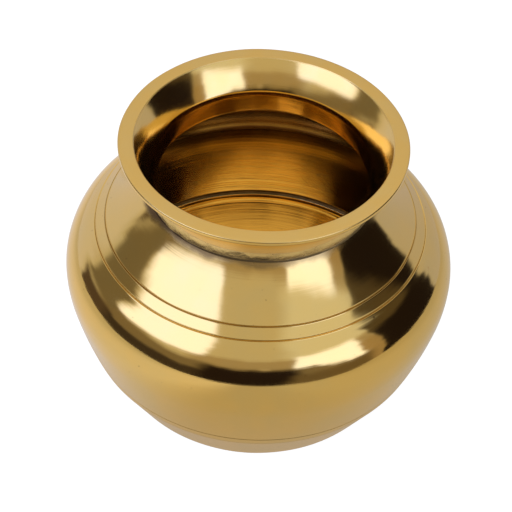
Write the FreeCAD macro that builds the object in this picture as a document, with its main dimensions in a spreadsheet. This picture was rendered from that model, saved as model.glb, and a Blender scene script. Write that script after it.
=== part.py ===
"""Brass kalash: a round-bellied water pot made of brazed sheet and turned pieces.

Every piece is a solid of revolution about the vertical Z axis.  The pot stands on the plane
Z = 0, with its axis on X = Y = 0.  Lengths are in millimetres and angles in degrees.

From the bottom up the pieces are the base cap, the bowl shell, the shoulder shell and the mouth
collar.  Each one fits the next with a spigot, and a thin ring of braze closes each joint.
"""

import FreeCAD, Part
import math
import os
import Sketcher

SHEET = "Sizes"

DIMENSIONS = (
    ("foot_radius", 50.0, "outer radius where the foot meets the ground"),
    ("foot_height", 16.8, "height of the conical foot band, where the base cap ends"),
    ("foot_slope", 27.8, "lean of the foot band from the vertical"),
    ("foot_corner", 1.0, "bending radius of the foot's bottom edge"),
    ("floor_thickness", 1.8, "thickness of the flat floor"),
    ("floor_fillet", 3.2, "bending radius between the floor and the inside of the foot band"),
    ("belly_radius", 65.0, "largest outer radius"),
    ("belly_height", 44.1, "height of the largest radius, where bowl and shoulder meet"),
    ("wall", 1.5, "thickness of the shells"),
    ("lap", 0.85, "depth of a step in a lapped joint"),
    ("lap_rise", 3.4, "height over which the base joint runs out into the bowl's inside"),
    ("side_bend", 151.4, "bending radius of the long side of the bowl, down to the foot band"),
    ("waist_slope", 11.2, "lean where the side passes into the belly"),
    ("waist_bend", 37.7, "bending radius of the belly below its widest line"),
    ("roll_bend", 21.5, "bending radius of the belly above its widest line"),
    ("roll_angle", 54.5, "turn from the widest line to the start of the shoulder"),
    ("shoulder_bend", 84.2, "hollow bending radius of the shoulder"),
    ("base_spigot", 2.2, "rise of the base cap's spigot inside the bowl"),
    ("belly_spigot", 3.0, "rise of the bowl's spigot inside the shoulder"),
    ("braze_leg", 1.5, "height of the braze fillet against the neck"),
    ("braze_run", 0.9, "width of the braze fillet on the shoulder"),
    ("belly_braze_leg", 0.7, "leg of the small braze fillet inside the belly"),
    ("throat_radius", 34.6, "inner radius of the throat"),
    ("throat_wall", 1.4, "wall of the collar's spigot in the shoulder's hole"),
    ("seat_width", 0.8, "width of the collar's step on the shoulder's edge"),
    ("collar_spigot", 1.4, "depth of the collar's spigot below that step"),
    ("neck_rise", 1.6, "height of the straight neck above the step"),
    ("lip_height", 96.6, "height of the flat lip"),
    ("lip_radius", 46.0, "outer radius of the lip, without the bulge of its edge"),
    ("mouth_radius", 41.4, "inner radius of the lip"),
    ("throat_bend", 5.0, "bending radius where the throat starts to open"),
    ("throat_lean", 28.0, "lean of the inside where that bend ends"),
    ("flare_bend", 42.0, "bending radius of the flare above it"),
    ("lip_thickness", 1.6, "thickness of the lip at its edge"),
    ("lip_root", 43.4, "radius where the neck's outside meets the lip's underside"),
    ("groove_width", 0.5, "width of an engraved line"),
    ("groove_depth", 0.3, "depth of an engraved line"),
    ("upper_groove", 50.5, "direction of the shoulder's normal at the upper engraved line"),
    ("lower_groove", 53.4, "direction of the shoulder's normal at the lower engraved line"),
    ("side_groove", 17.8, "lean of the bowl's side at its engraved line"),
)


class Size:
    """A number that also remembers the sheet expression that it comes from."""

    def __init__(self, value, text):
        self.value = value
        self.text = text

    def combine(self, other, sign, value):
        """Join two sizes with an arithmetic sign."""
        return Size(value, "(" + self.text + " " + sign + " " + other.text + ")")

    def __add__(self, other):
        return self.combine(as_size(other), "+", self.value + as_size(other).value)

    def __sub__(self, other):
        return self.combine(as_size(other), "-", self.value - as_size(other).value)

    def __mul__(self, other):
        return self.combine(as_size(other), "*", self.value * as_size(other).value)

    def __truediv__(self, other):
        return self.combine(as_size(other), "/", self.value / as_size(other).value)


def as_size(number):
    """Return a size, from a size or a plain number."""
    if isinstance(number, Size):
        return number
    return Size(float(number), repr(float(number)))


def cosine(angle):
    """Cosine of an angle in degrees."""
    return Size(math.cos(math.radians(angle.value)), "cos(" + angle.text + " * 1 deg)")


def sine(angle):
    """Sine of an angle in degrees."""
    return Size(math.sin(math.radians(angle.value)), "sin(" + angle.text + " * 1 deg)")


def tangent(angle):
    """Tangent of an angle in degrees."""
    return Size(math.tan(math.radians(angle.value)), "tan(" + angle.text + " * 1 deg)")


def make_sheet(doc):
    """Put the driving dimensions in a spreadsheet and return them by name."""
    sheet = doc.addObject("Spreadsheet::Sheet", SHEET)
    sizes = {}
    for row, (alias, value, meaning) in enumerate(DIMENSIONS, start=1):
        sheet.set("A" + str(row), str(value))
        sheet.setAlias("A" + str(row), alias)
        sheet.set("B" + str(row), meaning)
        sizes[alias] = Size(value, SHEET + "." + alias)
    doc.recompute()
    return sizes


class Corner:
    """A corner of an outline: radius from the axis, height, and the bend to the next corner.

    A positive bend turns to the left on the way to the next corner, a negative one to the right,
    and no bend is a straight line.
    """

    def __init__(self, radius, height, bend=None, side=1):
        self.radius = as_size(radius)
        self.height = as_size(height)
        self.bend = bend
        self.side = side

    def point(self):
        """The corner as a vector in the sketch plane."""
        return FreeCAD.Vector(self.radius.value, self.height.value, 0)


def bent_edge(start, end, bend, side):
    """Arc from start to end with the given radius, and whether it runs from start to end."""
    chord = end - start
    left = FreeCAD.Vector(-chord.y, chord.x, 0).normalize()
    distance = math.sqrt(bend ** 2 - (chord.Length / 2) ** 2)
    centre = (start + end) * 0.5 + left * (distance * side)
    first = math.atan2(start.y - centre.y, start.x - centre.x)
    last = math.atan2(end.y - centre.y, end.x - centre.x)
    if side < 0:
        first, last = last, first
    if last < first:
        last += 2 * math.pi
    circle = Part.Circle(centre, FreeCAD.Vector(0, 0, 1), bend)
    return Part.ArcOfCircle(circle, first, last), side > 0


def bind(sketch, constraint, size):
    """Add a dimension to a sketch and bind it to the sheet."""
    index = sketch.addConstraint(constraint)
    sketch.setExpression("Constraints[" + str(index) + "]", size.text)


def place_corner(sketch, edge, end, corner):
    """Hold one end of an edge at its corner's radius and height."""
    if corner.radius.value == 0:
        sketch.addConstraint(Sketcher.Constraint("PointOnObject", edge, end, -2))
    else:
        rule = Sketcher.Constraint("DistanceX", -1, 1, edge, end, corner.radius.value)
        bind(sketch, rule, corner.radius)
    if corner.height.value == 0:
        sketch.addConstraint(Sketcher.Constraint("PointOnObject", edge, end, -1))
    else:
        rule = Sketcher.Constraint("DistanceY", -1, 1, edge, end, corner.height.value)
        bind(sketch, rule, corner.height)


def draw_outline(body, name, corners):
    """Sketch a closed outline on the body's XZ plane, with every corner bound to the sheet."""
    sketch = body.newObject("Sketcher::SketchObject", name)
    plane = [item for item in body.Origin.OriginFeatures if item.Role == "XZ_Plane"][0]
    sketch.AttachmentSupport = [(plane, "")]
    sketch.MapMode = "FlatFace"
    ends = []
    for number, corner in enumerate(corners):
        following = corners[(number + 1) % len(corners)]
        forward = True
        if corner.bend is None:
            edge = Part.LineSegment(corner.point(), following.point())
        else:
            edge, forward = bent_edge(corner.point(), following.point(), corner.bend.value, corner.side)
        sketch.addGeometry(edge, False)
        ends.append((1, 2) if forward else (2, 1))
    for number, corner in enumerate(corners):
        place_corner(sketch, number, ends[number][0], corner)
        previous = (number - 1) % len(corners)
        rule = Sketcher.Constraint("Coincident", previous, ends[previous][1], number, ends[number][0])
        sketch.addConstraint(rule)
        if corner.bend is not None:
            bind(sketch, Sketcher.Constraint("Radius", number, corner.bend.value), corner.bend)
    return sketch


def turned_body(doc, label, corners):
    """Make a body by turning a closed outline about the vertical axis."""
    body = doc.addObject("PartDesign::Body", label)
    body.Label = label
    sketch = draw_outline(body, label + "_outline", corners)
    turn = body.newObject("PartDesign::Revolution", label + "_turned")
    turn.Profile = sketch
    turn.ReferenceAxis = (sketch, ["V_Axis"])
    turn.Angle = 360
    doc.recompute()
    return body


def engrave(doc, body, name, corners):
    """Cut a groove round a body, and check that it took material away."""
    before = body.Shape.Volume
    sketch = draw_outline(body, name + "_outline", corners)
    cut = body.newObject("PartDesign::Groove", name)
    cut.Profile = sketch
    cut.ReferenceAxis = (sketch, ["V_Axis"])
    cut.Angle = 360
    doc.recompute()
    if body.Shape.Volume >= before:
        raise RuntimeError("the groove " + name + " cuts nothing")


def groove_corners(size, radius, height, normal):
    """Corners of an engraved line on a surface at a point whose outward normal is given."""
    across_r = sine(normal) * size["groove_width"] / 2
    across_z = cosine(normal) * size["groove_width"] / 2
    deep_r = cosine(normal) * size["groove_depth"]
    deep_z = sine(normal) * size["groove_depth"]
    return [
        Corner(radius - deep_r, height - deep_z),
        Corner(radius + across_r, height - across_z),
        Corner(radius + across_r + deep_r, height - across_z + deep_z),
        Corner(radius - across_r + deep_r, height + across_z + deep_z),
        Corner(radius - across_r, height + across_z),
    ]


def foot_top(size):
    """Outer radius of the foot band at its upper edge."""
    return size["foot_radius"] + size["foot_height"] * tangent(size["foot_slope"])


def other_leg(run):
    """Second leg of a right triangle whose hypotenuse is one and whose first leg is given."""
    return Size(math.sqrt(1 - run.value ** 2), "sqrt(1 - " + run.text + " ^ 2)")


def side_centre(size):
    """Centre of the bend of the bowl's long side."""
    grown = size["side_bend"] - size["waist_bend"]
    radius = size["belly_radius"] - size["waist_bend"] - grown * cosine(size["waist_slope"])
    return radius, size["belly_height"] + grown * sine(size["waist_slope"])


def side_radius(size, height, depth):
    """Radius of the bowl's long side at a height, a depth below its outside."""
    centre_r, centre_z = side_centre(size)
    reach = size["side_bend"] - depth
    return centre_r + reach * other_leg((centre_z - height) / reach)


def waist_point(size, depth):
    """Point where the belly's bend passes into the long side, a depth below the outside."""
    reach = size["waist_bend"] - depth
    slope = size["waist_slope"]
    radius = size["belly_radius"] - size["waist_bend"] + reach * cosine(slope)
    return radius, size["belly_height"] - reach * sine(slope)


def lap_top(size):
    """Height where the joint face in the bowl's foot runs out into its inside wall."""
    return size["foot_height"] + size["lap_rise"]


def lap_radius(size, height):
    """Radius of the conical joint face between base cap and bowl at a height."""
    low = foot_top(size) - size["lap"]
    high = side_radius(size, lap_top(size), size["wall"])
    return low + (high - low) * (height - size["foot_height"]) / size["lap_rise"]


def rounding(size, radius, height, bend):
    """Start and end of the bend where a level line turns up into the lean of the foot band."""
    slope = size["foot_slope"]
    length = bend * tangent((slope * -1 + 90) / 2)
    return (radius - length, height), (radius + length * sine(slope), height + length * cosine(slope))


def make_base_cap(doc, size):
    """Flat floor with a conical foot band and a spigot that enters the bowl."""
    lean = tangent(size["foot_slope"])
    top = size["foot_height"]
    rise = top + size["base_spigot"]
    edge = size["groove_width"] / 2
    floor = size["floor_thickness"]
    inner_top = foot_top(size) - size["wall"] / cosine(size["foot_slope"])
    inner_low = inner_top - (top - floor) * lean
    outer = rounding(size, size["foot_radius"], Size(0.0, "0"), size["foot_corner"])
    inner = rounding(size, inner_low, floor, size["floor_fillet"])
    corners = [
        Corner(0, 0),
        Corner(outer[0][0], 0, size["foot_corner"], 1),
        Corner(*outer[1]),
        Corner(foot_top(size) - edge * lean, top - edge),
        Corner(foot_top(size) - size["groove_depth"], top),
        Corner(lap_radius(size, top), top),
        Corner(lap_radius(size, rise), rise),
        Corner(lap_radius(size, rise) - size["lap"], rise),
        Corner(inner_top, top),
        Corner(*inner[1], size["floor_fillet"], -1),
        Corner(*inner[0]),
        Corner(0, floor),
    ]
    return turned_body(doc, "base_cap", corners)


def make_bowl_shell(doc, size):
    """Lower half of the belly, lapped over the base cap and into the shoulder."""
    belly = size["belly_height"]
    foot = size["foot_height"]
    lip = foot + size["groove_width"] / 2
    wall = size["wall"]
    inner_foot = lap_top(size)
    spigot = size["belly_radius"] - size["lap"]
    inner = size["belly_radius"] - size["wall"]
    rise = size["belly_height"] + size["belly_spigot"]
    leg = size["belly_braze_leg"]
    corners = [
        Corner(foot_top(size) - size["groove_depth"], foot),
        Corner(side_radius(size, lip, 0), lip, size["side_bend"], 1),
        Corner(*waist_point(size, 0), size["waist_bend"], 1),
        Corner(size["belly_radius"], belly),
        Corner(spigot, belly),
        Corner(spigot, rise),
        Corner(spigot - size["groove_depth"] / 2, rise),
        Corner(inner, rise - leg),
        Corner(inner, belly, size["waist_bend"] - wall, -1),
        Corner(*waist_point(size, wall), size["side_bend"] - wall, -1),
        Corner(side_radius(size, inner_foot, wall), inner_foot),
        Corner(lap_radius(size, foot), foot),
    ]
    body = turned_body(doc, "bowl_shell", corners)
    slope = size["side_groove"]
    centre_r, centre_z = side_centre(size)
    radius = centre_r + size["side_bend"] * cosine(slope)
    height = centre_z - size["side_bend"] * sine(slope)
    engrave(doc, body, "side_line", groove_corners(size, radius, height, slope * -1))
    return body


def roll_centre(size):
    """Centre of the belly's bend above its widest line."""
    return size["belly_radius"] - size["roll_bend"], size["belly_height"]


def shoulder_centre(size):
    """Centre of the shoulder's hollow bend, outside the pot."""
    radius, height = roll_centre(size)
    reach = size["roll_bend"] + size["shoulder_bend"]
    return radius + reach * cosine(size["roll_angle"]), height + reach * sine(size["roll_angle"])


def shoulder_point(size, angle):
    """Point of the shoulder's outside whose normal has the given direction."""
    radius, height = shoulder_centre(size)
    reach = size["shoulder_bend"]
    return radius - reach * cosine(angle), height - reach * sine(angle)


def spigot_radius(size):
    """Outer radius of the collar's spigot, which is the radius of the shoulder's hole."""
    return size["throat_radius"] + size["throat_wall"]


def shoulder_height(size, radius, depth):
    """Height of the shoulder at a radius, a depth below its outside."""
    centre_r, centre_z = shoulder_centre(size)
    reach = size["shoulder_bend"] + depth
    return centre_z - reach * other_leg((centre_r - radius) / reach)


def seat(size):
    """Radius and height of the outer edge of the collar's seat on the shoulder."""
    radius = spigot_radius(size) + size["seat_width"]
    return radius, shoulder_height(size, radius, 0)


def make_shoulder_shell(doc, size):
    """Upper half of the belly and the shoulder, with a hole for the collar."""
    centre_r, centre_z = roll_centre(size)
    roll = size["roll_bend"]
    angle = size["roll_angle"]
    inner_roll = roll - size["wall"]
    belly = size["belly_height"]
    rise = belly + size["belly_spigot"]
    ledge = centre_r + inner_roll * other_leg(size["belly_spigot"] / inner_roll)
    spigot = size["belly_radius"] - size["lap"]
    outer_edge = seat(size)
    inner_edge = shoulder_height(size, spigot_radius(size), size["wall"])
    corners = [
        Corner(size["belly_radius"], belly, roll, 1),
        Corner(centre_r + roll * cosine(angle), centre_z + roll * sine(angle), size["shoulder_bend"], -1),
        Corner(*outer_edge),
        Corner(spigot_radius(size), outer_edge[1]),
        Corner(spigot_radius(size), inner_edge, size["shoulder_bend"] + size["wall"], 1),
        Corner(centre_r + inner_roll * cosine(angle), centre_z + inner_roll * sine(angle), inner_roll, -1),
        Corner(ledge, rise),
        Corner(spigot, rise),
        Corner(spigot, belly),
    ]
    body = turned_body(doc, "shoulder_shell", corners)
    for name, cell in (("upper_line", "upper_groove"), ("lower_line", "lower_groove")):
        radius, height = shoulder_point(size, size[cell])
        engrave(doc, body, name, groove_corners(size, radius, height, size[cell]))
    return body


def make_mouth_collar(doc, size):
    """Flared neck with a flat lip, and a spigot that drops into the shoulder.

    Inside, the throat bends outwards to its lean, and a wider bend carries on to the lip.
    """
    outer, step = seat(size)
    neck = step + size["neck_rise"]
    top = size["lip_height"]
    inner = size["throat_radius"]
    lean = size["throat_lean"]
    knee = inner + size["throat_bend"] * (cosine(lean) * -1 + 1)
    end_cosine = cosine(lean) - (size["mouth_radius"] - knee) / size["flare_bend"]
    knee_height = top - size["flare_bend"] * (other_leg(end_cosine) - sine(lean))
    throat_top = knee_height - size["throat_bend"] * sine(lean)
    under = top - size["lip_thickness"]
    back_rise = under - neck
    back_run = size["lip_root"] - outer
    back_bend = (back_rise * back_rise + back_run * back_run) / (back_run * 2)
    corners = [
        Corner(inner, step - size["collar_spigot"]),
        Corner(spigot_radius(size), step - size["collar_spigot"]),
        Corner(spigot_radius(size), step),
        Corner(outer, step),
        Corner(outer, neck, back_bend, -1),
        Corner(size["lip_root"], under),
        Corner(size["lip_radius"], under, size["lip_thickness"], 1),
        Corner(size["lip_radius"], top),
        Corner(size["mouth_radius"], top, size["flare_bend"], 1),
        Corner(knee, knee_height, size["throat_bend"], 1),
        Corner(inner, throat_top),
    ]
    return turned_body(doc, "mouth_collar", corners)


def make_neck_braze(doc, size):
    """Braze fillet in the corner between the neck and the shoulder."""
    outer, step = seat(size)
    foot_radius = outer + size["braze_run"]
    corners = [
        Corner(outer, step, size["shoulder_bend"], 1),
        Corner(foot_radius, shoulder_height(size, foot_radius, 0)),
        Corner(outer, step + size["braze_leg"]),
    ]
    return turned_body(doc, "neck_braze", corners)


def make_belly_braze(doc, size):
    """Braze in the small bevel of the bowl's spigot, under the shoulder's ledge."""
    rise = size["belly_height"] + size["belly_spigot"]
    spigot = size["belly_radius"] - size["lap"]
    inner = size["belly_radius"] - size["wall"]
    corners = [
        Corner(inner, rise - size["belly_braze_leg"]),
        Corner(spigot - size["groove_depth"] / 2, rise),
        Corner(inner, rise),
    ]
    return turned_body(doc, "belly_braze", corners)


def make_base_braze(doc, size):
    """Braze fillet on top of the base cap's spigot, against the inside of the bowl."""
    rise = size["foot_height"] + size["base_spigot"]
    top = lap_top(size)
    corners = [
        Corner(lap_radius(size, rise) - size["lap"], rise),
        Corner(lap_radius(size, rise), rise),
        Corner(lap_radius(size, top), top),
    ]
    return turned_body(doc, "base_braze", corners)


def check_document(doc, bodies):
    """Stop if any object failed or any piece is not one valid solid."""
    for item in doc.Objects:
        if "Invalid" in item.State or "Error" in item.State:
            raise RuntimeError(item.Name + " failed: " + str(item.State))
    for body in bodies:
        shape = body.Shape
        if shape.isNull() or not shape.isValid() or len(shape.Solids) != 1:
            raise RuntimeError(body.Label + " is not one valid solid")


def write_pieces(bodies):
    """Write each piece to its own file, named after its label."""
    os.makedirs("parts", exist_ok=True)
    for body in bodies:
        body.Shape.exportStep("parts/" + body.Label + ".step")
        box = body.Shape.optimalBoundingBox()
        print(body.Label, "volume", round(body.Shape.Volume, 1), "mm3, z", round(box.ZMin, 2),
              "to", round(box.ZMax, 2), ", radius", round(box.XMax, 2))


def main():
    """Build the pot and write its pieces."""
    doc = FreeCAD.newDocument("kalash")
    size = make_sheet(doc)
    bodies = [
        make_base_cap(doc, size),
        make_base_braze(doc, size),
        make_bowl_shell(doc, size),
        make_belly_braze(doc, size),
        make_shoulder_shell(doc, size),
        make_neck_braze(doc, size),
        make_mouth_collar(doc, size),
    ]
    doc.recompute()
    check_document(doc, bodies)
    write_pieces(bodies)


main()
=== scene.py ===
"""Brass kalash: the looks of a round-bellied water pot of brazed and hand-finished brass.

Outlines are in millimetres, all else in metres, and angles in degrees.  The pot stands on Z = 0
with its axis on X = Y = 0.  Every piece is an outline turned about that axis, then bent a little
by one common field of unevenness, so that pieces which touch stay together.
"""

import logging
import math
from dataclasses import dataclass
from enum import Enum
from typing import Any, Union

import bpy
import numpy as np
from bpy.types import Material, NodeSocket, Object, World
from mathutils import Matrix, Vector


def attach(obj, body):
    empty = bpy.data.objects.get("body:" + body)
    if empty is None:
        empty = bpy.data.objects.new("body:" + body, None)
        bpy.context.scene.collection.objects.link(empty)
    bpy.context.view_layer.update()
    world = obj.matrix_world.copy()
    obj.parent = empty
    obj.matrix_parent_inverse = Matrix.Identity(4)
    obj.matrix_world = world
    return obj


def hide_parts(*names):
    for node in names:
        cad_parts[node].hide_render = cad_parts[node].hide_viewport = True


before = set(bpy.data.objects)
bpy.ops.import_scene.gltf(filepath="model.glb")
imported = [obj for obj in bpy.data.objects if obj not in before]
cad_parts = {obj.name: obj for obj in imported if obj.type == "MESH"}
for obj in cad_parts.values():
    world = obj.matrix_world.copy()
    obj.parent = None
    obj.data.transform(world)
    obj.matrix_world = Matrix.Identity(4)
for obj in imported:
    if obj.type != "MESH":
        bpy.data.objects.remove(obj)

Array = np.ndarray
Point = Union[Array, tuple[float, float]]
MM = 0.001
FULL_TURN = 2 * math.pi
SEGMENTS = 480
ANGLES = np.arange(SEGMENTS) / SEGMENTS * FULL_TURN
SHARP_ANGLE = 32
SAME_POINT = 1e-6
log = logging.getLogger("kalash")


# ---- outlines

def corner(radius: float, height: float, fillet: float = 0.0) -> Array:
    """One outline point as a row: radius, height and radius of its rounding, in millimetres."""
    return np.array([[radius, height, fillet]])


def arc(centre: Point, radius: float, first: float, last: float, count: int) -> Array:
    """Outline points on an arc: centre + radius * (cos a, sin a), closer together near its ends.

    Args:
        centre: radius and height of the centre, in millimetres.
        radius: radius of the arc.
        first: direction of the first point from the centre.
        last: direction of the last point.
        count: number of points.

    Returns:
        Rows of radius, height and a fillet of nought.
    """
    eased = 0.5 - 0.5 * np.cos(np.linspace(0, math.pi, count))
    angle = np.radians(first + (last - first) * eased)
    rows = np.zeros((count, 3))
    rows[:, 0] = centre[0] + radius * np.cos(angle)
    rows[:, 1] = centre[1] + radius * np.sin(angle)
    return rows


def unit(angle: float) -> Array:
    """Radius and height of the point at distance one in a direction given in degrees."""
    return np.array([math.cos(math.radians(angle)), math.sin(math.radians(angle))])


def without_repeats(rows: Array, closed: bool = False) -> Array:
    """Leave out each point that repeats the one before it.

    Args:
        rows: radius and height, perhaps followed by a fillet.
        closed: whether the last point joins the first.

    Returns:
        The rows that stay.
    """
    keep = np.linalg.norm(rows[:, :2] - np.roll(rows[:, :2], 1, axis=0), axis=1) > SAME_POINT
    keep[0] = keep[0] or not closed
    return rows[keep]


def rounded(strokes: list[Array], closed: bool = True) -> Array:
    """Join strokes into one outline and round its marked corners.

    A corner p between the directions d1 and d2 becomes the curve (1-u)^2 a + 2u(1-u) p + u^2 b,
    with a = p - t d1 and b = p + t d2, where t is the fillet times the tangent of half the turn, and
    at most 0.45 of the shorter side.

    Args:
        strokes: arrays of radius, height and fillet.
        closed: whether the last point joins the first.

    Returns:
        Rows of radius and height, in millimetres.
    """
    steps = 6
    sharpest_turn = 2.6
    rows = without_repeats(np.concatenate(strokes), closed)
    points = rows[:, :2]
    before = points - np.roll(points, 1, axis=0)
    after = np.roll(points, -1, axis=0) - points
    length_before = np.linalg.norm(before, axis=1)
    length_after = np.linalg.norm(after, axis=1)
    first = before / np.maximum(length_before, 1e-9)[:, None]
    second = after / np.maximum(length_after, 1e-9)[:, None]
    turn = np.arccos(np.clip((first * second).sum(axis=1), -1, 1))
    reach = rows[:, 2] * np.tan(np.minimum(turn, sharpest_turn) / 2)
    reach = np.minimum(reach, 0.45 * np.minimum(length_before, length_after))
    u = np.linspace(0, 1, steps)[None, :, None]
    start = (points - first * reach[:, None])[:, None]
    end = (points + second * reach[:, None])[:, None]
    curve = (1 - u) ** 2 * start + 2 * u * (1 - u) * points[:, None] + u ** 2 * end
    use = np.repeat((rows[:, 2] > 0)[:, None], steps, axis=1)
    use[:, 0] = True
    return curve[use]


def spread(points: Array, closed: bool, step: float) -> Array:
    """Add points on the long straight stretches of an outline, so that no gap exceeds the step.

    Args:
        points: rows of radius and height.
        closed: whether the last point joins the first.
        step: the longest gap that may stay.

    Returns:
        The outline with more points.
    """
    ends = np.roll(points, -1, axis=0) if closed else points[1:]
    starts = points if closed else points[:-1]
    pieces = np.maximum(1, np.ceil(np.linalg.norm(ends - starts, axis=1) / step).astype(int))
    index = np.repeat(np.arange(len(starts)), pieces)
    part = np.arange(pieces.sum()) - np.repeat(np.cumsum(pieces) - pieces, pieces)
    share = (part / pieces[index])[:, None]
    filled = starts[index] * (1 - share) + ends[index] * share
    return filled if closed else np.concatenate([filled, points[-1:]])


def scribed(points: Array, places: list[Point], width: float, depth: float) -> Array:
    """Cut engraved lines into an open outline, each with a thin burr along both of its edges.

    With x the distance along the outline from the line's middle, in half widths, the outline moves
    inwards by depth * exp(-(x / 0.55)^2), and by a tenth of that outwards near |x| = 1.25.

    Args:
        points: rows of radius and height, going upwards with the outside on the right.
        places: radius and height of each line.
        width: full width of a line.
        depth: depth of a line.

    Returns:
        The outline with dense points across each line.
    """
    run = np.concatenate([[0], np.cumsum(np.linalg.norm(np.diff(points, axis=0), axis=1))])
    half = width / 2
    middles = [run[np.hypot(*(points - place).T).argmin()] for place in places]
    dense = [middle + half * np.linspace(-2.4, 2.4, 29) for middle in middles]
    stations = np.unique(np.concatenate([run, *dense]))
    stations = stations[(stations >= 0) & (stations <= run[-1])]
    line = np.stack([np.interp(stations, run, points[:, axis]) for axis in (0, 1)], axis=1)
    along = np.gradient(line, axis=0)
    along /= np.linalg.norm(along, axis=1)[:, None]
    outwards = np.stack([along[:, 1], -along[:, 0]], axis=1)
    offset = np.zeros(len(line))
    for middle in middles:
        x = np.abs(stations - middle) / half
        offset -= depth * np.exp(-((x / 0.55) ** 2))
        offset += 0.1 * depth * np.exp(-(((x - 1.25) / 0.4) ** 2))
    return line + outwards * offset[:, None]


# ---- hand work

@dataclass(frozen=True)
class HandWork:
    """Common field of small dents that every piece follows.

    Attributes:
        reach: largest radial dent, in millimetres.
        ripple: height of the fine rings left by spinning, in millimetres.
        waves: number of waves that are added up.
        fall: how fast a wave gets smaller with its number.
        twist: shortest height in which a wave winds once about the axis.
        calm: radius below which the dents fade out.
        seed: start of the random phases.
    """

    reach: float = 0.16
    ripple: float = 0.004
    waves: int = 14
    fall: float = 1.15
    twist: float = 60
    calm: float = 20
    seed: int = 11

    def dents(self, angle: Array, height: Array) -> Array:
        """Radial move: a sum of a_k cos(k angle + b_k height + c_k), lowered to be nowhere positive.

        Args:
            angle: angle about the axis, in radians.
            height: height in millimetres.

        Returns:
            The move in millimetres.
        """
        source = np.random.default_rng(self.seed)
        total = np.zeros(np.broadcast(angle, height).shape)
        heights = 0.0
        for order in range(2, 2 + self.waves):
            rise = source.uniform(-1, 1) * FULL_TURN / self.twist
            phase = source.uniform(0, FULL_TURN)
            share = 1 / order ** self.fall
            total += share * np.cos(order * angle + rise * height + phase)
            heights += share
        rings = self.ripple * np.cos(FULL_TURN * height / 3.1 + 2 * np.cos(FULL_TURN * height / 17))
        return self.reach * (total / heights * 1.6 - 1) + rings - self.ripple

    def applied(self, points: Array) -> Array:
        """Move mesh points towards the axis by the dents.

        Args:
            points: rows of x, y and z in millimetres.

        Returns:
            The moved points.
        """
        radius = np.hypot(points[:, 0], points[:, 1])
        angle = np.arctan2(points[:, 1], points[:, 0])
        fade = np.clip(radius / self.calm, 0, 1)
        factor = 1 + fade * self.dents(angle, points[:, 2]) / np.maximum(radius, 1)
        return np.column_stack([points[:, :2] * factor[:, None], points[:, 2]])


HAND_WORK = HandWork()


# ---- meshes

def turned_grid(outline: Array) -> Array:
    """Points (r cos a, r sin a, h) for every outline point (r, h) and every angle a.

    Args:
        outline: rows of radius and height in millimetres.

    Returns:
        An array of angles x outline points x 3.
    """
    grid = np.empty((SEGMENTS, len(outline), 3))
    grid[..., 0] = np.cos(ANGLES)[:, None] * outline[:, 0]
    grid[..., 1] = np.sin(ANGLES)[:, None] * outline[:, 0]
    grid[..., 2] = outline[:, 1]
    return grid


def grid_faces(count: int, closed: bool) -> Array:
    """Quads of a turned grid, facing away from the metal when the outline runs anticlockwise.

    Args:
        count: number of outline points.
        closed: whether the outline's last point joins its first.

    Returns:
        Rows of four vertex numbers.
    """
    a = np.arange(SEGMENTS)[:, None]
    b = np.arange(count if closed else count - 1)[None, :]
    a_next = (a + 1) % SEGMENTS
    b_next = (b + 1) % count
    quads = [a * count + b, a_next * count + b, a_next * count + b_next, a * count + b_next]
    return np.stack(np.broadcast_arrays(*quads), axis=-1).reshape(-1, 4)


def make_object(name: str, points: Array, faces: list[list[int]], inner: Array) -> Object:
    """Make a smooth mesh object at the origin, with an attribute that marks the inside surface.

    Args:
        name: name of the object.
        points: rows of x, y and z in millimetres.
        faces: vertex numbers of each face.
        inner: for each vertex, 1 on the inside of the pot and 0 on its outside.

    Returns:
        The new object.
    """
    mesh = bpy.data.meshes.new(name)
    mesh.from_pydata((HAND_WORK.applied(points) * MM).tolist(), [], faces)
    mesh.attributes.new("inner", "FLOAT", "POINT").data.foreach_set("value", inner.astype(np.float32))
    mesh.polygons.foreach_set("use_smooth", np.ones(len(mesh.polygons), dtype=bool))
    mesh.set_sharp_from_angle(angle=math.radians(SHARP_ANGLE))
    mesh.validate()
    mesh.update()
    piece = bpy.data.objects.new(name, mesh)
    bpy.context.scene.collection.objects.link(piece)
    return piece


def make_ring(name: str, grid: Array, inner: Array) -> Object:
    """Make a ring-shaped piece of a turned grid, given the inside mark of each outline point."""
    faces = grid_faces(len(inner), True).tolist()
    return make_object(name, grid.reshape(-1, 3), faces, np.tile(inner, SEGMENTS))


def turned_disc(name: str, outline: Array, inner: Array) -> Object:
    """Turn an outline that starts and ends on the axis into a closed piece with two poles.

    Args:
        name: name of the object.
        outline: rows of radius and height, anticlockwise, with a radius of nought at both ends.
        inner: inside mark of each outline point.

    Returns:
        The new object.
    """
    rim = outline[1:-1]
    count = len(rim)
    grid = turned_grid(rim).reshape(-1, 3)
    poles = np.array([[0, 0, outline[0, 1]], [0, 0, outline[-1, 1]]])
    low, high = len(grid), len(grid) + 1
    start = np.arange(SEGMENTS) * count
    following = np.roll(start, -1)
    bottom = np.stack([np.full(SEGMENTS, low), following, start], axis=1)
    top = np.stack([np.full(SEGMENTS, high), start + count - 1, following + count - 1], axis=1)
    faces = grid_faces(count, False).tolist() + bottom.tolist() + top.tolist()
    marks = np.concatenate([np.tile(inner[1:-1], SEGMENTS), inner[:1], inner[-1:]])
    return make_object(name, np.concatenate([grid, poles]), faces, marks)


# ---- shader building

Operand = Union["Value", float]


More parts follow.
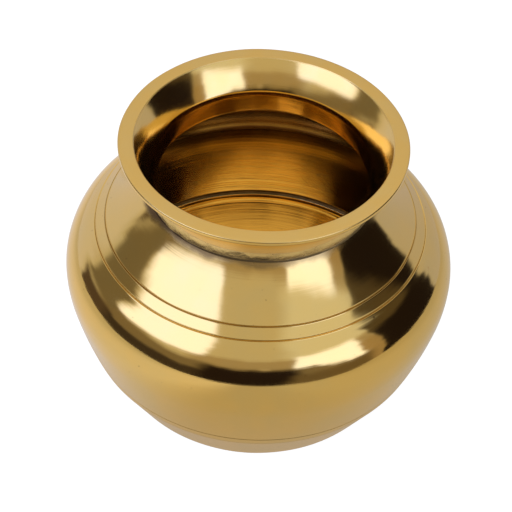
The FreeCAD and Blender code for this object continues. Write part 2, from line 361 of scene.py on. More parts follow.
class Value:
    """A shader socket that takes part in arithmetic."""

    def __init__(self, graph: "Graph", socket: NodeSocket) -> None:
        """Keep the graph and the socket."""
        self.graph = graph
        self.socket = socket

    def maths(self, operation: str, *others: Operand) -> "Value":
        """Result of a Math node whose first input is this value."""
        inputs = dict(enumerate((self, *others)))
        return self.graph.node("ShaderNodeMath", {"operation": operation}, inputs)

    def __add__(self, other: Operand) -> "Value":
        """Sum."""
        return self.maths("ADD", other)

    __radd__ = __add__

    def __sub__(self, other: Operand) -> "Value":
        """Difference."""
        return self.maths("SUBTRACT", other)

    def __rsub__(self, other: Operand) -> "Value":
        """Difference with this value on the right."""
        return self * -1 + other

    def __mul__(self, other: Operand) -> "Value":
        """Product."""
        return self.maths("MULTIPLY", other)

    __rmul__ = __mul__

    def __pow__(self, other: Operand) -> "Value":
        """Power."""
        return self.maths("POWER", other)

    def limited(self) -> "Value":
        """This value kept between nought and one."""
        return self.graph.node("ShaderNodeClamp", {}, {0: self})

    def ramp(self, low: float, high: float) -> "Value":
        """Smooth step from 0 at low to 1 at high, or the other way round if low is the larger.

        Args:
            low: the value that gives 0.
            high: the value that gives 1.

        Returns:
            The step.
        """
        ends = (low, high, 0.0, 1.0) if low <= high else (high, low, 1.0, 0.0)
        inputs = dict(enumerate((self, *ends)))
        return self.graph.node("ShaderNodeMapRange", {"interpolation_type": "SMOOTHSTEP"}, inputs)


class Graph:
    """The node tree of one material or of the room around the pot."""

    def __init__(self, owner: Union[Material, World]) -> None:
        """Empty the owner's tree."""
        self.owner = owner
        owner.use_nodes = True
        self.tree = owner.node_tree
        self.tree.nodes.clear()

    def node(self, kind: str, settings: dict[str, Any], inputs: dict[Any, Any], output: Any = 0) -> Any:
        """Add a node.

        Args:
            kind: the node's type.
            settings: its properties, set before its inputs.
            inputs: values, colours or links by socket number or name.
            output: number or name of the socket to return, or None for a node without any.

        Returns:
            The chosen output.
        """
        node = self.tree.nodes.new(kind)
        for name, value in settings.items():
            setattr(node, name, value)
        for key, value in inputs.items():
            if isinstance(value, Value):
                self.tree.links.new(value.socket, node.inputs[key])
            else:
                node.inputs[key].default_value = (*value, 1) if isinstance(value, tuple) else value
        return None if output is None else Value(self, node.outputs[output])

    def place(self) -> Value:
        """Object coordinates, in metres."""
        return self.node("ShaderNodeTexCoord", {}, {}, "Object")

    def parts(self, vector: Value) -> tuple[Value, Value, Value]:
        """The three parts of a vector."""
        split = self.node("ShaderNodeSeparateXYZ", {}, {0: vector})
        return tuple(Value(self, part) for part in split.socket.node.outputs)

    def inner(self) -> Value:
        """Mark of the inside surface."""
        return self.node("ShaderNodeAttribute", {"attribute_name": "inner"}, {}, "Fac")

    def vector(self, x: Operand, y: Operand, z: Operand) -> Value:
        """A vector of three parts."""
        return self.node("ShaderNodeCombineXYZ", {}, {0: x, 1: y, 2: z})

    def noise(self, where: Value, scale: float, detail: float = 2.0, roughness: float = 0.5) -> Value:
        """Noise between 0 and 1, with a number of finer octaves and the strength of each."""
        inputs = {"Vector": where, "Scale": scale, "Detail": detail, "Roughness": roughness}
        return self.node("ShaderNodeTexNoise", {}, inputs)

    def blend(self, factor: Operand, first: Any, second: Any) -> Value:
        """Mix two colours, given the share of the second."""
        settings = {"data_type": "RGBA", "clamp_factor": True}
        return self.node("ShaderNodeMix", settings, {0: factor, 6: first, 7: second}, 2)

    def finish(self, inputs: dict[str, Any]) -> Material:
        """End a material's tree with a Principled shader.

        Args:
            inputs: values, colours or links by the shader's socket names.

        Returns:
            The material.
        """
        shader = self.node("ShaderNodeBsdfPrincipled", {}, inputs)
        self.node("ShaderNodeOutputMaterial", {}, {"Surface": shader}, None)
        return self.owner

    def metal(self, colour: Value, rough: Value, height: Value, unit: float) -> Material:
        """Metal with a relief whose height is counted in a unit given in metres."""
        normal = self.node("ShaderNodeBump", {}, {"Height": height, "Distance": unit})
        return self.finish({"Base Color": colour, "Metallic": 1.0, "Roughness": rough, "Normal": normal})


# ---- finishes

Colour = tuple[float, float, float]
FINE_RELIEF = 0.00002


@dataclass(frozen=True)
class BodyBrass:
    """Polished and buffed brass of the shells: clean low inside, higher up rougher, streaked and darkened
    by painted shade.

    Attributes:
        lines: height and half breadth of each line that holds grime, in millimetres.
    """

    lines: tuple[tuple[float, float], ...]
    gold: Colour = (0.90, 0.59, 0.165)
    olive: Colour = (0.84, 0.58, 0.185)
    stain: Colour = (0.62, 0.30, 0.06)
    pit: Colour = (0.25, 0.14, 0.05)
    grime: Colour = (0.13, 0.065, 0.02)
    residue: Colour = (0.17, 0.10, 0.045)
    inside: Colour = (0.98, 0.70, 0.25)
    # Painted shade: the colour of the inside wall higher up, under the shoulder.
    inside_shade: Colour = (0.12, 0.045, 0.012)

    def material(self) -> Material:
        """Build the material.

        Returns:
            The material.
        """
        graph = Graph(bpy.data.materials.new("body_brass"))
        place = graph.place()
        x, y, z = graph.parts(place)
        radius = (x * x + y * y) ** 0.5
        inner = graph.inner()
        cloud = graph.noise(place, 32, 3)
        mottle = graph.noise(place, 120, 3)
        waves = graph.noise(place, 48, 1.5)
        rings = graph.noise(graph.vector(x * 4, y * 4, z * 900), 1, 2)
        scratch = graph.noise(graph.vector(x * 40, y * 40, z * 2600), 1, 2)
        polish = (z + (cloud - 0.5) * 0.02).ramp(0.022, 0.046)
        colour = graph.blend((cloud + mottle * 0.4).ramp(0.55, 0.95), self.gold, self.olive)
        stains = graph.noise(place, 60, 4, 0.65).ramp(0.70, 0.76)
        colour = graph.blend(stains * 0.6, colour, self.stain)
        pits = graph.noise(place, 900, 0).ramp(0.868, 0.89)
        colour = graph.blend(pits * 0.8, colour, self.pit)
        left = (x * -14 + 0.45).limited()
        near_neck = (radius + (mottle - 0.5) * 0.003).ramp(0.0392, 0.0377) * (left * 0.6 + 0.35)
        colour = graph.blend(near_neck, colour, self.residue)
        grime = self.lined(z) * (1 - inner)
        colour = graph.blend(grime * (mottle * 0.6 + 0.5), colour, self.grime)
        # Painted shade: the inside wall is darkened higher up, under the shoulder, broken up by the
        # streaks of turning; the same height also makes the inside rougher.
        upper = (z + (cloud - 0.5) * 0.016).ramp(0.027, 0.050)
        streaks = (rings * 0.7 + cloud * 0.5).ramp(0.35, 0.8)
        wall = graph.blend(upper * (streaks * 0.35 + 0.6) + streaks * 0.08, self.inside, self.inside_shade)
        colour = graph.blend(inner, colour, wall)
        outside_rough = 0.22 - polish * 0.155 + cloud * 0.045 + near_neck * 0.3 + grime * 0.3
        inside_rough = 0.06 + rings * 0.05 + upper * 0.15
        rough = outside_rough * (1 - inner) + inside_rough * inner
        height = scratch * (0.3 + inner * 0.5) + rings * (0.4 + inner * 0.9) + mottle * 0.5 + waves * 9
        return graph.metal(colour, rough, height, FINE_RELIEF)

    def lined(self, z: Value) -> Value:
        """Cover of the grime: 1 in the middle of each line, falling to 0 at its edges.

        Args:
            z: height in metres.

        Returns:
            The cover.
        """
        core = 0.3
        covers = []
        for height, reach in self.lines:
            away = (z - height * MM).maths("ABSOLUTE")
            covers.append(away.ramp(reach * MM, core * reach * MM))
        return sum(covers).limited()


@dataclass(frozen=True)
class CollarBrass:
    """Turned and brushed brass of the neck and lip."""

    gold: Colour = (0.90, 0.59, 0.165)
    pale: Colour = (0.88, 0.60, 0.19)
    neck: Colour = (0.95, 0.73, 0.34)
    throat: Colour = (0.74, 0.47, 0.17)
    residue: Colour = (0.20, 0.10, 0.035)

    def material(self) -> Material:
        """Build the material.

        Returns:
            The material.
        """
        graph = Graph(bpy.data.materials.new("collar_brass"))
        place = graph.place()
        x, y, z = graph.parts(place)
        radius = (x * x + y * y) ** 0.5
        inner = graph.inner()
        lip = z.ramp(0.0962, 0.0965)
        mottle = graph.noise(place, 110, 3)
        waves = graph.noise(place, 60, 1.5)
        rings = graph.noise(graph.vector(x * 12, y * 12, radius * 2600 + z * 1200), 1, 3)
        colour = graph.blend(mottle.ramp(0.35, 0.7), self.gold, self.pale)
        under = z.ramp(0.0955, 0.0945) * (1 - inner)
        colour = graph.blend(under, colour, self.neck)
        throat = (z + (mottle - 0.5) * 0.003).ramp(0.0885, 0.0845) * inner
        colour = graph.blend(throat * 0.75, colour, self.throat)
        low = (z + (mottle - 0.5) * 0.002).ramp(0.0828, 0.0818) * (1 - inner)
        colour = graph.blend(low * 0.35, colour, self.residue)
        rough = 0.09 + lip * 0.19 + rings * 0.05 + low * 0.2
        height = rings * (0.25 + lip * 1.4) + mottle * 0.4 + waves * (6 - lip * 5)
        return graph.metal(colour, rough, height, FINE_RELIEF)


@dataclass(frozen=True)
class NeckBraze:
    """Filler metal at the neck: rubbed bright, with burnt flux left along its lower edge."""

    bright: Colour = (0.90, 0.64, 0.24)
    burnt: Colour = (0.05, 0.028, 0.014)

    def material(self) -> Material:
        """Build the material.

        Returns:
            The material.
        """
        graph = Graph(bpy.data.materials.new("neck_braze"))
        place = graph.place()
        x, _, z = graph.parts(place)
        lumps = graph.noise(place, 420, 4, 0.6)
        wander = graph.noise(place, 130, 3)
        left = (x * -14 + 0.45).limited()
        crack = (z + (wander - 0.5) * 0.0016).ramp(0.0802, 0.0797) * (left * 0.35 + 0.65)
        colour = graph.blend(crack, self.bright, self.burnt)
        return graph.metal(colour, 0.18 + lumps * 0.15 + crack * 0.35, lumps, 0.00012)


@dataclass(frozen=True)
class WornBraze:
    """Filler metal inside the pot, dulled and darker than the wall."""

    bright: Colour = (0.26, 0.14, 0.035)
    dull: Colour = (0.16, 0.08, 0.02)

    def material(self) -> Material:
        """Build the material.

        Returns:
            The material.
        """
        graph = Graph(bpy.data.materials.new("worn_braze"))
        place = graph.place()
        lumps = graph.noise(place, 300, 3, 0.6)
        stains = graph.noise(place, 90, 2)
        colour = graph.blend((lumps * 0.6 + stains * 0.6).ramp(0.5, 0.9), self.bright, self.dull)
        return graph.metal(colour, 0.4 + lumps * 0.2, lumps, 0.00006)


# ---- the pot's form

@dataclass(frozen=True)
class Form:
    """Driving sizes of the pot, in millimetres and degrees, and the stations they give."""

    foot_radius: float = 50.0
    foot_height: float = 16.8
    foot_slope: float = 27.8
    floor: float = 1.8
    belly_radius: float = 65.0
    belly_height: float = 44.1
    wall: float = 1.5
    lap: float = 0.85
    lap_rise: float = 3.4
    side_bend: float = 151.4
    waist_slope: float = 11.2
    waist_bend: float = 37.7
    roll_bend: float = 21.5
    roll_angle: float = 54.5
    shoulder_bend: float = 84.2
    base_spigot: float = 2.2
    belly_spigot: float = 3.0
    throat_radius: float = 34.6
    throat_wall: float = 1.4
    seat_width: float = 0.8
    collar_spigot: float = 1.4
    neck_rise: float = 1.6
    lip_height: float = 96.6
    lip_radius: float = 46.2
    mouth_radius: float = 41.4
    throat_bend: float = 5.0
    throat_lean: float = 28.0
    flare_bend: float = 42.0
    lip_thickness: float = 1.6
    lip_root: float = 43.4
    line_width: float = 0.55
    line_depth: float = 0.3
    upper_line: float = 50.5
    lower_line: float = 53.4
    side_line: float = 17.8
    edge: float = 0.25
    belly_bead: float = 0.7
    neck_bead_run: float = 0.9
    neck_bead_leg: float = 1.55

    def waist_centre(self) -> Array:
        """Centre of the belly's bend below its widest line."""
        return np.array([self.belly_radius - self.waist_bend, self.belly_height])

    def side_centre(self) -> Array:
        """Centre of the bowl's long side, on the line where the belly's bend ends."""
        return self.waist_centre() - (self.side_bend - self.waist_bend) * unit(-self.waist_slope)

    def side_angle(self, height: float, depth: float) -> float:
        """Direction, below the horizontal, from the side's centre to the side at a height."""
        return math.degrees(math.asin((self.side_centre()[1] - height) / (self.side_bend - depth)))

    def side_radius(self, height: float, depth: float) -> float:
        """Radius of the long side at a height, a depth below its outside."""
        reach = (self.side_bend - depth) * math.cos(math.radians(self.side_angle(height, depth)))
        return self.side_centre()[0] + reach

    def foot_top(self) -> float:
        """Outer radius of the foot band at its upper edge."""
        return self.foot_radius + self.foot_height * math.tan(math.radians(self.foot_slope))

    def lap_top(self) -> float:
        """Height where the joint face runs out into the bowl's inside wall."""
        return self.foot_height + self.lap_rise

    def lap_radius(self, height: float) -> float:
        """Radius of the straight joint face between foot and bowl.

        Args:
            height: height above the ground.

        Returns:
            The radius.
        """
        low = self.foot_top() - self.lap
        high = self.side_radius(self.lap_top(), self.wall)
        return low + (high - low) * (height - self.foot_height) / self.lap_rise

    def roll_centre(self) -> Array:
        """Centre of the belly's bend above its widest line."""
        return np.array([self.belly_radius - self.roll_bend, self.belly_height])

    def shoulder_centre(self) -> Array:
        """Centre of the shoulder's hollow bend."""
        return self.roll_centre() + (self.roll_bend + self.shoulder_bend) * unit(self.roll_angle)

    def shoulder_point(self, direction: float) -> Array:
        """Point of the shoulder whose outward normal has a direction above the horizontal."""
        return self.shoulder_centre() - self.shoulder_bend * unit(direction)

    def hole_radius(self) -> float:
        """Radius of the shoulder's hole."""
        return self.throat_radius + self.throat_wall

    def shoulder_angle(self, radius: float, depth: float) -> float:
        """Direction, above the horizontal, of the shoulder's normal at a radius and a depth."""
        return math.degrees(math.acos((self.shoulder_centre()[0] - radius) / (self.shoulder_bend + depth)))

    def lines(self) -> tuple[tuple[float, float], ...]:
        """Height and half breadth, measured upwards, of each engraved line and of the foot's joint.

        Returns:
            Pairs of height and half breadth.
        """
        half = 0.5 * self.line_width
        side = self.side_centre()[1] + self.side_bend * unit(-self.side_line)[1]
        rows = [(side, half), (self.foot_height, 0.75 * half)]
        for direction in (self.upper_line, self.lower_line):
            rows.append((self.shoulder_point(direction)[1], half * unit(direction)[0]))
        return tuple((float(height), float(reach)) for height, reach in rows)

    def seat(self) -> tuple[float, float]:
        """Outer edge of the collar's seat: radius and height."""
        radius = self.hole_radius() + self.seat_width
        return radius, self.shoulder_point(self.shoulder_angle(radius, 0))[1]


FORM = Form()


def inside_marks(outline: Array, limit: Array) -> Array:
    """One for each outline point that is nearer the axis than its limit, otherwise nought."""
    return (outline[:, 0] < limit).astype(float)


def within_shell(outline: Array, outer: Array) -> Array:
    """Inside marks of the outline points that lie well below the outer surface of a shell."""
    return inside_marks(outline, np.interp(outline[:, 1], outer[:, 1], outer[:, 0] - 0.9))


class Slot(Enum):
    """Material slots of the pot's record."""

    SATIN = "satin_brass"
    POLISHED = "polished_brass"
    TURNED = "turned_brass"
    BRAZE = "braze"


@dataclass
class Piece:
    """One piece of the pot: its name, the node that it stands for and its slot."""

    name: str
    node: str
    slot: Slot
    form: Form = FORM

    def build(self) -> Object:
        """Make the mesh object."""
        raise NotImplementedError

    def turned(self, outline: Array, inner: Array) -> Object:
        """Turn a closed anticlockwise outline into a ring."""
        return make_ring(self.name, turned_grid(outline), inner)

    def add(self, material: Material) -> None:
        """Build the piece, dress it and fasten it to the pot.

        Args:
            material: its finish.
        """
        piece = self.build()
        piece.data.materials.append(material)
        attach(piece, "root")
        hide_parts(self.node)
        log.info("%s: %d faces", self.name, len(piece.data.polygons))


class Foot(Piece):
    """Flat floor with the conical foot band."""

    def build(self) -> Object:
        """Turn the outline of floor, band and spigot.

        Returns:
            The object.
        """
        form = self.form
        slope = math.radians(form.foot_slope)
        top = form.foot_height
        rise = top + form.base_spigot
        inner_top = form.foot_top() - form.wall / math.cos(slope)
        inner_low = inner_top - (top - form.floor) * math.tan(slope)
        outline = spread(rounded([
            corner(0, 0),
            corner(form.foot_radius, 0, 1.0),
            corner(form.foot_top(), top, form.edge),
            corner(form.lap_radius(top), top),
            corner(form.lap_radius(rise), rise),
            corner(form.lap_radius(rise) - form.lap, rise, 0.2),
            corner(inner_top, top),
            corner(inner_low, form.floor, 3.2),
            corner(0, form.floor),
        ], closed=False), False, 1.4)
        limit = inner_low + (outline[:, 1] - form.floor) * math.tan(slope) + 0.4 * form.wall
        above = outline[:, 1] > 0.5 * form.floor
        return turned_disc(self.name, outline, inside_marks(outline, limit) * above)


class Bowl(Piece):
    """Lower half of the belly."""

    def outside(self) -> Array:
        """Outer surface from the foot joint to the widest line, with its engraved line.

        Returns:
            Rows of radius and height, going upwards.
        """
        form = self.form
        low = form.side_angle(form.foot_height, 0)
        rows = np.concatenate([
            arc(form.side_centre(), form.side_bend, -low, -form.waist_slope, 24),
            arc(form.waist_centre(), form.waist_bend, -form.waist_slope, 0, 40),
        ])[:, :2]
        rows = spread(without_repeats(rows), False, 0.9)
        line = form.side_centre() + form.side_bend * unit(-form.side_line)
        return scribed(rows, [line], form.line_width, form.line_depth)

    def build(self) -> Object:
        """Turn the outline of outside, spigot, bevel, inside and joint face.

        Returns:
            The object.
        """
        form = self.form
        wall = form.wall
        outer = self.outside()
        outer = np.column_stack([outer, np.zeros(len(outer))])
        outer[0, 2] = form.edge
        spigot = form.belly_radius - form.lap
        inner = form.belly_radius - wall
        rise = form.belly_height + form.belly_spigot
        low = form.side_angle(form.lap_top(), wall)
        outline = spread(rounded([
            outer,
            corner(spigot, form.belly_height),
            corner(spigot, rise),
            corner(spigot - form.line_depth / 2, rise),
            corner(inner, rise - form.belly_bead),
            arc(form.waist_centre(), form.waist_bend - wall, 0, -form.waist_slope, 18),
            arc(form.side_centre(), form.side_bend - wall, -form.waist_slope, -low, 16),
            corner(form.lap_radius(form.foot_height), form.foot_height),
        ]), True, 1.6)
        return self.turned(outline, within_shell(outline, outer))


class Shoulder(Piece):
    """Upper half of the belly and the hollow shoulder."""

    def outside(self) -> Array:
        """Outer surface from the widest line to the collar's seat, with its engraved lines.

        Returns:
            Rows of radius and height, going upwards.
        """
        form = self.form
        last = form.shoulder_angle(form.seat()[0], 0)
        rows = np.concatenate([
            arc(form.roll_centre(), form.roll_bend, 0, form.roll_angle, 46),
            arc(form.shoulder_centre(), form.shoulder_bend, form.roll_angle - 180, last - 180, 46),
        ])[:, :2]
        places = [form.shoulder_point(form.lower_line), form.shoulder_point(form.upper_line)]
        return scribed(without_repeats(rows), places, form.line_width, form.line_depth)

    def build(self) -> Object:
        """Turn the outline of outside, seat, hole, inside, ledge and lap.

        Returns:
            The object.
        """
        form = self.form
        wall = form.wall
        outer = self.outside()
        hole = form.hole_radius()
        last = form.shoulder_angle(hole, wall)
        inner_roll = form.roll_bend - wall
        ledge = math.degrees(math.asin(form.belly_spigot / inner_roll))
        rise = form.belly_height + form.belly_spigot
        spigot = form.belly_radius - form.lap
        outline = spread(rounded([
            np.column_stack([outer, np.zeros(len(outer))]),
            corner(hole, form.seat()[1]),
            arc(form.shoulder_centre(), form.shoulder_bend + wall, last - 180, form.roll_angle - 180, 22),
            arc(form.roll_centre(), inner_roll, form.roll_angle, ledge, 22),
            corner(spigot, rise),
            corner(spigot, form.belly_height),
        ]), True, 1.6)
        return self.turned(outline, within_shell(outline, outer))


class Collar(Piece):
    """Flared neck with a flat lip."""

    def build(self) -> Object:
        """Turn the outline of spigot, neck, lip and flare.

        Returns:
            The object.
        """
        form = self.form
        outer, step = form.seat()
        neck = step + form.neck_rise
        top = form.lip_height
        inner = form.throat_radius
        back = self.back(outer, neck)
        back[-1, 2] = 0.6
        inside = self.inside()
        inside[0, 2] = 0.12
        outline = spread(rounded([
            corner(inner, step - form.collar_spigot, 0.12),
            corner(form.hole_radius(), step - form.collar_spigot),
            corner(form.hole_radius(), step),
            corner(outer, step),
            back,
            corner(form.lip_radius, top - form.lip_thickness, 0.45),
            corner(form.lip_radius, top, 0.55),
            inside,
        ]), True, 0.9)
        middle = [inner + 0.5, inner + 0.5, form.mouth_radius - 0.05]
        limit = np.interp(outline[:, 1], [step, neck + 3, top], middle)
        return self.turned(outline, inside_marks(outline, limit))

    def back(self, radius: float, height: float) -> Array:
        """Outside of the neck: an arc that starts upright and bends outwards to the lip.

        With run w and rise h, such an arc has the radius (h^2 + w^2) / 2w.

        Args:
            radius: start radius.
            height: start height.

        Returns:
            Rows of radius, height and fillet, going upwards.
        """
        form = self.form
        run = form.lip_root - radius
        rise = form.lip_height - form.lip_thickness - height
        bend = (rise ** 2 + run ** 2) / (2 * run)
        last = math.degrees(math.asin(rise / bend))
        return arc((radius + bend, height), bend, 180, 180 - last, 26)

    def inside(self) -> Array:
        """Inside of the flare: a wide bend from the lip to the lean of the throat's own bend.

        Returns:
            Rows of radius, height and fillet, going downwards.
        """
        form = self.form
        lean = math.radians(form.throat_lean)
        knee = form.throat_radius + form.throat_bend * (1 - math.cos(lean))
        last = math.acos(math.cos(lean) - (form.mouth_radius - knee) / form.flare_bend)
        knee_height = form.lip_height - form.flare_bend * (math.sin(last) - math.sin(lean))
        centre = knee + form.flare_bend * math.cos(lean), knee_height - form.flare_bend * math.sin(lean)
        throat = form.throat_radius + form.throat_bend, knee_height - form.throat_bend * math.sin(lean)
        return np.concatenate([
            arc(centre, form.flare_bend, 180 - math.degrees(last), 180 - form.throat_lean, 44),
            arc(throat, form.throat_bend, 180 - form.throat_lean, 180, 14),
        ])


class NeckBead(Piece):
    """Uneven braze fillet between neck and shoulder."""

    def swell(self) -> Array:
        """Sum of waves round the axis, kept between 0 and 1.

        Returns:
            The swelling at each angle.
        """
        seed, first, last, full = 5, 3, 40, 4
        source = np.random.default_rng(seed)
        total = np.zeros(SEGMENTS)
        for order in range(first, last):
            total += np.cos(order * ANGLES + source.uniform(0, FULL_TURN)) / order ** 0.5
        return 0.5 + 0.5 * np.clip(total / full, -1, 1)

    def build(self) -> Object:
        """Turn a small lens whose free side swells and shrinks round the pot.

        The point at share u of the free side moves outwards by (0.3 n - 0.26) sin(pi u), where n is
        the swelling at its angle.

        Returns:
            The object.
        """
        form = self.form
        steps, bury = 14, 0.02
        outer, step = form.seat()
        u = np.linspace(0, 1, steps)
        start = form.shoulder_point(form.shoulder_angle(outer + form.neck_bead_run, 0))
        end = np.array([outer, step + form.neck_bead_leg])
        free = start + u[:, None] * (end - start)
        outline = np.concatenate([[[outer - bury, step - bury]], free])
        grid = turned_grid(outline)
        slope = (end - start) / np.linalg.norm(end - start)
        push = (-0.26 + 0.3 * self.swell())[:, None] * np.sin(math.pi * u)[None, :]
        radial = np.stack([np.cos(ANGLES), np.sin(ANGLES)], axis=1)
        grid[:, 1:, :2] += (push * slope[1])[..., None] * radial[:, None, :]
        grid[:, 1:, 2] -= push * slope[0]
        return make_ring(self.name, grid, np.zeros(len(outline)))


class BellyBead(Piece):
    """Braze in the bevel inside the belly joint."""

    def build(self) -> Object:
        """Turn a small triangle with a slightly bulging free side.

        Returns:
            The object.
        """
        form = self.form
        inner = form.belly_radius - form.wall
        rise = form.belly_height + form.belly_spigot
        outline = rounded([
            corner(inner, rise - form.belly_bead),
            corner(form.belly_radius - form.lap - form.line_depth / 2, rise),
            corner(inner - 0.05, rise, 0.05),
            corner(inner - 0.12, rise - 0.35, 0.1),
        ])
        return self.turned(outline, np.ones(len(outline)))


class BaseBead(Piece):
    """Braze fillet on the foot's spigot, inside the bowl."""

    def build(self) -> Object:
        """Turn a small triangle with a hollow free side.

        Returns:
            The object.
        """
        form = self.form
        rise = form.foot_height + form.base_spigot
        top = form.lap_top()
        outline = rounded([
            corner(form.lap_radius(rise) - form.lap, rise, 0.1),
            corner(form.lap_radius(rise), rise),
            corner(form.lap_radius(top), top),
            corner(form.lap_radius(rise) - 0.15, rise + 0.6, 0.4),
        ])
        return self.turned(outline, np.ones(len(outline)))


# ---- stage, lights and camera

@dataclass(frozen=True)
class Panel:
    """A soft-edged area of the room that the brass reflects: a lit screen or a dark drape.

    Attributes:
        azimuths: its sides, as directions from the pot: 0 in front and 90 to the right.
        elevations: its lower and upper edge above the horizon.
        colour: its light.
        soft: width over which its edges fade, sideways and upwards.
        lean: rise of its lower edge for each degree to the right.
    """

    azimuths: tuple[float, float]
    elevations: tuple[float, float]
    colour: Colour
    soft: tuple[float, float] = (4.0, 4.0)
    lean: float = 0.0


class Sight(Enum):
    """Who sees a stage surface."""

    CAMERA = "camera"
    REFLECTIONS = "reflections"


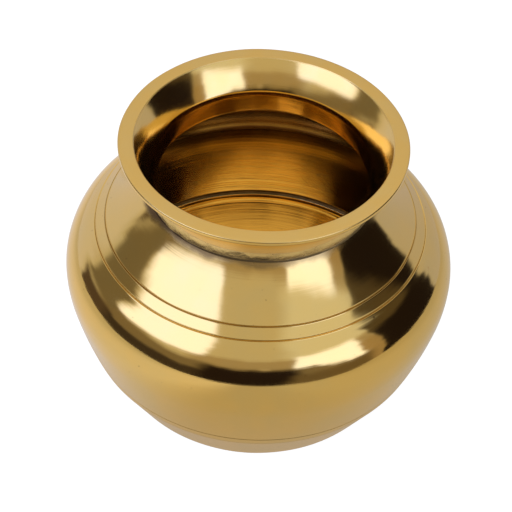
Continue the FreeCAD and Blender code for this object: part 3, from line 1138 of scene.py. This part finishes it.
class Studio:
    """Pale floor, the room that the brass reflects, and the camera."""

    walls: Colour = (0.57, 0.57, 0.60)
    panels: tuple[Panel, ...] = (
        Panel((22, 90), (35, 90), (0.72, 0.78, 0.98), (8, 4)),
        Panel((-34, 72), (-90, 33), (0.40, 0.355, 0.32), (6, 3)),
        Panel((-95, 72), (-90, 20), (0.21, 0.18, 0.15), (6, 4)),
        Panel((-78, -48), (-8, 2), (0.29, 0.26, 0.27), (6, 3)),
        Panel((-112, -80), (-90, 7), (0.09, 0.07, 0.07), (2, 3)),
        Panel((-86, -22), (-90, 5), (0.05, 0.04, 0.04), (4, 2.5)),
        Panel((-27, 24), (-90, 17), (0.018, 0.012, 0.014), (5, 3)),
        Panel((1, 8), (17.5, 21.5), (0.46, 0.42, 0.40), (1.5, 1.5)),
        Panel((-83, -28), (25, 60), (1.35, 1.6, 3.2), (3, 3), 0.2),
        Panel((24, 61), (12, 36), (1.35, 1.6, 3.0), (2.5, 3.5), -0.45),
        Panel((60, 71), (-90, 24), (0.38, 0.31, 0.24), (2.5, 3)),
        Panel((20, 64), (-90, 5), (0.15, 0.12, 0.09), (6, 3)),
        Panel((71, 114), (-90, 42), (0.014, 0.010, 0.012), (1.2, 4)),
        Panel((71, 114), (29, 42), (0.085, 0.07, 0.055), (1.2, 4)),
        Panel((-111, -86), (9, 44), (0.18, 0.165, 0.15), (2.5, 4)),
    )
    unevenness: float = 14.0
    glow: Colour = (0.86, 0.86, 0.86)
    behind_left: Colour = (0.66, 0.68, 0.90)
    behind_right: Colour = (0.50, 0.51, 0.66)
    behind_above: Colour = (0.56, 0.53, 0.53)
    overhead: Colour = (0.73, 0.70, 0.70)
    sheet_front: Colour = (0.42, 0.40, 0.37)
    sheet_left: Colour = (0.65, 0.64, 0.68)
    sheet_right: Colour = (0.46, 0.45, 0.43)
    sheet_far_left: Colour = (0.48, 0.48, 0.49)
    sheet_far_right: Colour = (0.40, 0.385, 0.35)
    floor_radius: float = 3.0
    sheet_radius: float = 0.375
    lens: float = 105.8
    height_angle: float = 45.58
    distance: float = 0.5106
    aim: tuple[float, float] = (-0.00092, -0.0001)
    roll: float = 2.6

    def build(self) -> None:
        """Make the stage."""
        self.floor("floor", self.floor_radius, Sight.CAMERA, (0.3, 0.3, 0.3))
        self.floor("sheet", self.sheet_radius, Sight.REFLECTIONS, (0.16, 0.13, 0.08))
        self.room()
        self.camera()

    def floor(self, name: str, radius: float, sight: Sight, colour: Colour) -> None:
        """Lay a round pale floor.

        Args:
            name: name of the object.
            radius: its radius in metres.
            sight: who sees it.
            colour: its own colour.
        """
        graph = Graph(bpy.data.materials.new(name))
        mirrored = sight is Sight.REFLECTIONS
        shine = self.pools(graph) if mirrored else self.glow
        material = graph.finish({
            "Base Color": colour,
            "Roughness": 1.0,
            "Specular IOR Level": 0.0,
            "Emission Color": shine,
            "Emission Strength": 1.0,
        })
        corners, below = 96, -2e-5
        angle = np.linspace(0, FULL_TURN, corners, endpoint=False)
        ring = np.stack([radius * np.cos(angle), radius * np.sin(angle), np.full(corners, below)], axis=1)
        mesh = bpy.data.meshes.new(name)
        mesh.from_pydata(ring.tolist(), [], [tuple(range(corners))])
        mesh.materials.append(material)
        piece = bpy.data.objects.new(name, mesh)
        bpy.context.scene.collection.objects.link(piece)
        piece.visible_camera = not mirrored
        piece.visible_glossy = mirrored
        piece.visible_diffuse = mirrored
        piece.visible_shadow = False

    def pools(self, graph: Graph) -> Value:
        """Light on the sheet: even in front, with a brighter pool close to either side of the pot.

        Args:
            graph: the sheet's tree.

        Returns:
            The colour.
        """
        x = graph.parts(graph.place())[0]
        away = x.maths("ABSOLUTE")
        side = x.ramp(-0.04, 0.04)
        near = graph.blend(side, self.sheet_left, self.sheet_right)
        far = graph.blend(side, self.sheet_far_left, self.sheet_far_right)
        pool = graph.blend(away.ramp(0.13, 0.26), near, far)
        return graph.blend(away.ramp(0.02, 0.085), self.sheet_front, pool)

    def room(self) -> None:
        """Surround the pot with screens and drapes, all white where they are seen directly.

        The light in a direction is the walls' colour, covered in turn by each panel.  A panel's
        cover is the product of four smooth steps, one for each of its edges.
        """
        world = bpy.data.worlds.new("room")
        bpy.context.scene.world = world
        graph = Graph(world)
        direction = graph.node("ShaderNodeTexCoord", {}, {}, "Generated")
        x, y, z = graph.parts(direction)
        degrees = 180 / math.pi
        folds = (graph.noise(direction, 4.5, 3) - 0.5) * self.unevenness
        azimuth = x.maths("ARCTAN2", y * -1) * degrees + folds
        elevation = z.maths("ARCSINE") * degrees + folds * 0.5
        light = self.walls
        for panel in self.panels:
            left, right = panel.azimuths
            low, high = panel.elevations
            sideways, upwards = panel.soft
            height = elevation - azimuth * panel.lean
            low -= 0.5 * (left + right) * panel.lean
            cover = azimuth.ramp(left - sideways, left + sideways)
            cover = cover * azimuth.ramp(right + sideways, right - sideways)
            cover = cover * height.ramp(low - upwards, low + upwards)
            cover = cover * elevation.ramp(high + upwards, high - upwards)
            light = graph.blend(cover, light, panel.colour)
        behind = graph.blend(azimuth.ramp(-1, 1), self.behind_left, self.behind_right)
        above = graph.blend(elevation.ramp(36, 44), self.behind_above, self.overhead)
        behind = graph.blend(elevation.ramp(12, 30), behind, above)
        light = graph.blend(azimuth.maths("ABSOLUTE").ramp(111, 117), light, behind)
        straight = graph.node("ShaderNodeLightPath", {}, {}, "Is Camera Ray")
        light = graph.blend(straight, light, (1, 1, 1))
        shine = graph.node("ShaderNodeBackground", {}, {0: light})
        graph.node("ShaderNodeOutputWorld", {}, {0: shine}, None)

    def camera(self) -> None:
        """Set the camera looking down at the pot from the front, about half a metre away."""
        data = bpy.data.cameras.new("camera")
        data.sensor_width = 36
        data.lens = self.lens
        data.clip_start = 0.01
        data.clip_end = 50
        camera = bpy.data.objects.new("camera", data)
        bpy.context.scene.collection.objects.link(camera)
        elevation = math.radians(self.height_angle)
        belly = Vector((0, 0, FORM.belly_height * MM))
        back = Vector((0, -math.cos(elevation), math.sin(elevation)))
        upwards = Vector((0, math.sin(elevation), math.cos(elevation)))
        camera.location = belly + back * self.distance
        aim = belly + Vector((self.aim[0], 0, 0)) + upwards * self.aim[1]
        look = (aim - camera.location).to_track_quat("-Z", "Y").to_matrix().to_4x4()
        roll = Matrix.Rotation(math.radians(self.roll), 4, "Z")
        camera.matrix_world = Matrix.Translation(camera.location) @ look @ roll
        bpy.context.scene.camera = camera


def main() -> None:
    """Build the pot, its stage and its camera."""
    logging.basicConfig(level=logging.INFO, format="%(name)s: %(message)s")
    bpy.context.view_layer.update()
    body = BodyBrass(FORM.lines()).material()
    collar = CollarBrass().material()
    neck_braze = NeckBraze().material()
    worn_braze = WornBraze().material()
    Foot("foot", "base_cap", Slot.SATIN).add(body)
    Bowl("bowl", "bowl_shell", Slot.SATIN).add(body)
    Shoulder("shoulder", "shoulder_shell", Slot.POLISHED).add(body)
    Collar("collar", "mouth_collar", Slot.TURNED).add(collar)
    NeckBead("neck_bead", "neck_braze", Slot.BRAZE).add(neck_braze)
    BellyBead("belly_bead", "belly_braze", Slot.BRAZE).add(worn_braze)
    BaseBead("base_bead", "base_braze", Slot.BRAZE).add(worn_braze)
    Studio().build()
    bpy.context.scene.view_settings.view_transform = "Standard"


if __name__ == "__main__":
    main()
